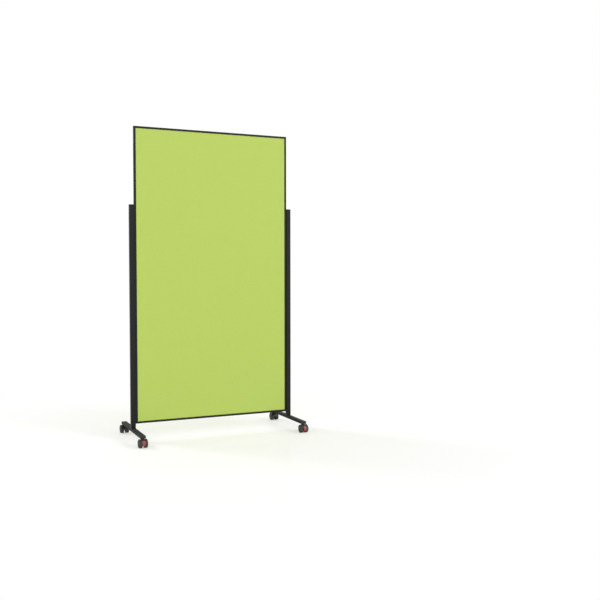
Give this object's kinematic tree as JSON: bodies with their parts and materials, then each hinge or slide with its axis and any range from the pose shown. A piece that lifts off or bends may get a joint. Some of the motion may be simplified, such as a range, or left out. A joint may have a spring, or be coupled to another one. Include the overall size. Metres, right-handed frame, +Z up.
{
  "type": "mobile pinboard",
  "caption": "Upright felt pinboard in a grooved black frame, clamped between posts on flat foot bars with swivelling twin-wheel casters and brake pedals.",
  "frame": {"origin": "on the floor, under the middle of the board and midway between the foot bars' ends", "axes": "+Z up, +X to the viewer's right along the board, -Y towards the viewer, where the braked casters are"},
  "size_m": [1.0824, 0.5358, 1.9],
  "materials": {
    "felt": "plain green felt, matte",
    "core": "pressed fibre board",
    "frame": "black powder coat on extruded aluminium",
    "post": "black powder coat on extruded aluminium",
    "foot": "black powder coat on steel tube",
    "key": "black moulded plastic",
    "plastic": "black moulded plastic, fine grain",
    "steel": "dark zinc plating",
    "caster": "black moulded nylon",
    "wheel": "dark grey moulded plastic",
    "pedal": "red moulded plastic, satin"
  },
  "bodies": {
    "stand": {"left_post": "post", "left_post_cap": "plastic", "left_post_insert": "steel", "left_foot_bar": "foot", "left_foot_bolt": "steel", "left_front_foot_cap": "plastic", "left_rear_foot_cap": "plastic", "left_upper_slide_nut": "steel", "left_upper_clamp_screw": "steel", "left_lower_slide_nut": "steel", "left_lower_clamp_screw": "steel", "left_front_caster_stem": "steel", "left_front_stem_nut": "steel", "left_rear_caster_stem": "steel", "left_rear_stem_nut": "steel", "right_post": "post", "right_post_cap": "plastic", "right_post_insert": "steel", "right_foot_bar": "foot", "right_foot_bolt": "steel", "right_front_foot_cap": "plastic", "right_rear_foot_cap": "plastic", "right_upper_slide_nut": "steel", "right_upper_clamp_screw": "steel", "right_lower_slide_nut": "steel", "right_lower_clamp_screw": "steel", "right_front_caster_stem": "steel", "right_front_stem_nut": "steel", "right_rear_caster_stem": "steel", "right_rear_stem_nut": "steel"},
    "board": {"core_panel": "core", "front_felt": "felt", "rear_felt": "felt", "top_rail": "frame", "bottom_rail": "frame", "left_stile": "frame", "right_stile": "frame", "top_left_corner_key": "key", "top_right_corner_key": "key", "bottom_right_corner_key": "key", "bottom_left_corner_key": "key"},
    "left_front_caster": {"left_front_caster_housing": "caster", "left_front_axle": "steel"},
    "left_front_left_wheel": {"left_front_left_wheel": "wheel"},
    "left_front_right_wheel": {"left_front_right_wheel": "wheel"},
    "left_front_brake_pedal": {"left_front_brake_pedal": "pedal"},
    "left_rear_caster": {"left_rear_caster_housing": "caster", "left_rear_axle": "steel"},
    "left_rear_left_wheel": {"left_rear_left_wheel": "wheel"},
    "left_rear_right_wheel": {"left_rear_right_wheel": "wheel"},
    "right_front_caster": {"right_front_caster_housing": "caster", "right_front_axle": "steel"},
    "right_front_left_wheel": {"right_front_left_wheel": "wheel"},
    "right_front_right_wheel": {"right_front_right_wheel": "wheel"},
    "right_front_brake_pedal": {"right_front_brake_pedal": "pedal"},
    "right_rear_caster": {"right_rear_caster_housing": "caster", "right_rear_axle": "steel"},
    "right_rear_left_wheel": {"right_rear_left_wheel": "wheel"},
    "right_rear_right_wheel": {"right_rear_right_wheel": "wheel"}
  },
  "joints": [
    {"name": "board_slide", "type": "slide", "parent": "stand", "child": "board", "axis": [0, 0, 1], "range_m": [-0.026, 0.2]},
    {"name": "left_front_swivel", "type": "hinge", "parent": "stand", "child": "left_front_caster", "pos_m": [-0.51525, -0.23, 0.05], "axis": [0, 0, 1], "continuous": true},
    {"name": "left_front_left_wheel_spin", "type": "hinge", "parent": "left_front_caster", "child": "left_front_left_wheel", "pos_m": [-0.53125, -0.24, 0.025], "axis": [1, 0, 0], "continuous": true},
    {"name": "left_front_right_wheel_spin", "type": "hinge", "parent": "left_front_caster", "child": "left_front_right_wheel", "pos_m": [-0.49925, -0.24, 0.025], "axis": [1, 0, 0], "continuous": true},
    {"name": "left_front_brake_pedal_tip", "type": "hinge", "parent": "left_front_caster", "child": "left_front_brake_pedal", "pos_m": [-0.51525, -0.2517, 0.03997], "axis": [-1, 0, 0], "range_deg": [0, 16]},
    {"name": "left_rear_swivel", "type": "hinge", "parent": "stand", "child": "left_rear_caster", "pos_m": [-0.51525, 0.23, 0.05], "axis": [0, 0, 1], "continuous": true},
    {"name": "left_rear_left_wheel_spin", "type": "hinge", "parent": "left_rear_caster", "child": "left_rear_left_wheel", "pos_m": [-0.53125, 0.24, 0.025], "axis": [1, 0, 0], "continuous": true},
    {"name": "left_rear_right_wheel_spin", "type": "hinge", "parent": "left_rear_caster", "child": "left_rear_right_wheel", "pos_m": [-0.49925, 0.24, 0.025], "axis": [1, 0, 0], "continuous": true},
    {"name": "right_front_swivel", "type": "hinge", "parent": "stand", "child": "right_front_caster", "pos_m": [0.51525, -0.23, 0.05], "axis": [0, 0, 1], "continuous": true},
    {"name": "right_front_left_wheel_spin", "type": "hinge", "parent": "right_front_caster", "child": "right_front_left_wheel", "pos_m": [0.49925, -0.24, 0.025], "axis": [1, 0, 0], "continuous": true},
    {"name": "right_front_right_wheel_spin", "type": "hinge", "parent": "right_front_caster", "child": "right_front_right_wheel", "pos_m": [0.53125, -0.24, 0.025], "axis": [1, 0, 0], "continuous": true},
    {"name": "right_front_brake_pedal_tip", "type": "hinge", "parent": "right_front_caster", "child": "right_front_brake_pedal", "pos_m": [0.51525, -0.2517, 0.03997], "axis": [-1, 0, 0], "range_deg": [0, 16]},
    {"name": "right_rear_swivel", "type": "hinge", "parent": "stand", "child": "right_rear_caster", "pos_m": [0.51525, 0.23, 0.05], "axis": [0, 0, 1], "continuous": true},
    {"name": "right_rear_left_wheel_spin", "type": "hinge", "parent": "right_rear_caster", "child": "right_rear_left_wheel", "pos_m": [0.49925, 0.24, 0.025], "axis": [1, 0, 0], "continuous": true},
    {"name": "right_rear_right_wheel_spin", "type": "hinge", "parent": "right_rear_caster", "child": "right_rear_right_wheel", "pos_m": [0.53125, 0.24, 0.025], "axis": [1, 0, 0], "continuous": true}
  ]
}
